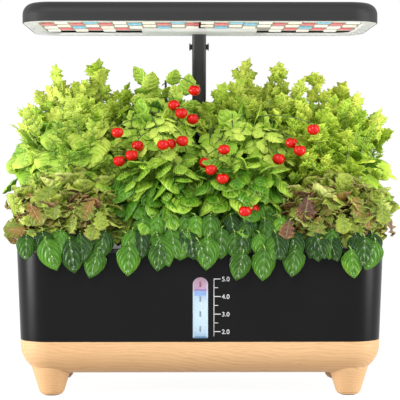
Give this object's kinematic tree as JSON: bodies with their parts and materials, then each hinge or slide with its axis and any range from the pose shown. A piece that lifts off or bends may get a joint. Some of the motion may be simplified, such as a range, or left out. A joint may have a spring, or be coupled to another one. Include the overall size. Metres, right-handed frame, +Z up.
{
  "type": "hydroponic plant pot",
  "caption": "Tabletop hydroponic plant pot: water tank with sight window on a wooden stand, planted lift-off deck, pump, and a grow lamp on a sliding mast.",
  "frame": {"origin": "centre of the footprint, on the surface that the pot stands on", "axes": "+Z up, -Y towards the front with the water window, +X to the right seen from the front"},
  "size_m": [0.389, 0.19, 0.416],
  "materials": {
    "stand_wood": "satin lacquered pale oak",
    "rubber": "matte",
    "steel": "zinc plated",
    "tank_black": "satin moulded",
    "window_clear": "clear, pale blue",
    "guide_white": "satin",
    "float_blue": "satin",
    "deck_black": "fine moulded texture",
    "basket_black": "matte",
    "sponge_brown": "open-celled sponge",
    "pump_grey": "matte",
    "pipe_clear": "milky",
    "lead_black": "satin",
    "mast_inner": "black anodised",
    "mast_black": "black powder coat",
    "button_black": "satin",
    "lamp_black": "satin moulded",
    "bezel_white": "satin",
    "board_olive": "coated board",
    "board_green": "coated board",
    "tile_white": "lit, white",
    "tile_warm": "lit, warm white",
    "tile_red": "lit, red",
    "tile_blue": "lit, blue",
    "lettuce_leaf": "living leaf, green with red-brown edges",
    "basil_leaf": "living leaf, glossy",
    "chard_leaf": "living leaf, pale green",
    "tomato_plant": "living leaf with red fruit",
    "parsley_leaf": "living leaf, fine cut",
    "celery_leaf": "living leaf, toothed"
  },
  "bodies": {
    "pot": {"stand": "stand_wood", "foot_pads": "rubber", "stand_screws": "steel", "tank": "tank_black", "window_lens": "window_clear", "window_seal": "rubber", "float_guide": "guide_white"},
    "float": {"level_float": "float_blue"},
    "deck": {"deck_seal": "rubber", "deck": "deck_black", "grow_baskets": "basket_black", "grow_sponges": "sponge_brown", "flap_pin": "steel", "pump_body": "pump_grey", "pump_grille": "pump_grey", "riser_pipe": "pipe_clear", "pump_lead": "lead_black", "lead_grommet": "rubber", "mast_post": "mast_inner", "post_screws": "steel", "lettuce_front_left": "lettuce_leaf", "basil_front_left": "basil_leaf", "basil_front_right": "basil_leaf", "lettuce_front_right": "lettuce_leaf", "chard_middle_left": "chard_leaf", "tomato_middle_left": "tomato_plant", "tomato_middle_right": "tomato_plant", "parsley_middle_right": "parsley_leaf", "celery_rear_left": "celery_leaf", "tomato_rear_left": "tomato_plant", "celery_rear_right": "celery_leaf", "parsley_rear_right": "parsley_leaf"},
    "flap": {"fill_flap": "deck_black"},
    "lamp": {"mast_sleeve": "mast_black", "mast_head": "deck_black", "release_spring": "steel", "lamp_housing": "lamp_black", "lamp_bezel": "bezel_white", "bezel_screws": "steel", "light_boards": "board_olive", "white_tiles": "tile_white", "warm_tiles": "tile_warm", "red_tiles": "tile_red", "blue_tiles": "tile_blue", "hub_cover": "bezel_white", "control_board": "board_green", "power_inlet": "basket_black"},
    "release_left": {"release_button_left": "button_black"},
    "release_right": {"release_button_right": "button_black"},
    "light_switch": {"light_button": "button_black"},
    "pump_switch": {"pump_button": "button_black"},
    "link_switch": {"link_button": "button_black"}
  },
  "joints": [
    {"name": "float_rise", "type": "slide", "parent": "pot", "child": "float", "axis": [0, -0.0366, 0.9993], "range_m": [-0.043, 0.012]},
    {"name": "deck_lift", "type": "slide", "parent": "pot", "child": "deck", "axis": [0, 0, 1], "range_m": [0, 0.12]},
    {"name": "flap_hinge", "type": "hinge", "parent": "deck", "child": "flap", "pos_m": [0.1849, 0, 0.1604], "axis": [0, 1, 0], "range_deg": [0, 100]},
    {"name": "lamp_slide", "type": "slide", "parent": "deck", "child": "lamp", "axis": [0, 0, 1], "range_m": [-0.02, 0.13]},
    {"name": "release_left_push", "type": "slide", "parent": "lamp", "child": "release_left", "axis": [1, 0, 0], "range_m": [0, 0.0016], "stiffness_N_per_m": 900, "deforming": ["release_spring"]},
    {"name": "release_right_push", "type": "slide", "parent": "lamp", "child": "release_right", "axis": [-1, 0, 0], "range_m": [0, 0.0016], "stiffness_N_per_m": 900, "deforming": ["release_spring"]},
    {"name": "light_push", "type": "slide", "parent": "lamp", "child": "light_switch", "axis": [0, 0, -1], "range_m": [0, 0.0008], "stiffness_N_per_m": 1500},
    {"name": "pump_push", "type": "slide", "parent": "lamp", "child": "pump_switch", "axis": [0, 0, -1], "range_m": [0, 0.0008], "stiffness_N_per_m": 1500},
    {"name": "link_push", "type": "slide", "parent": "lamp", "child": "link_switch", "axis": [0, 0, -1], "range_m": [0, 0.0008], "stiffness_N_per_m": 1500}
  ]
}
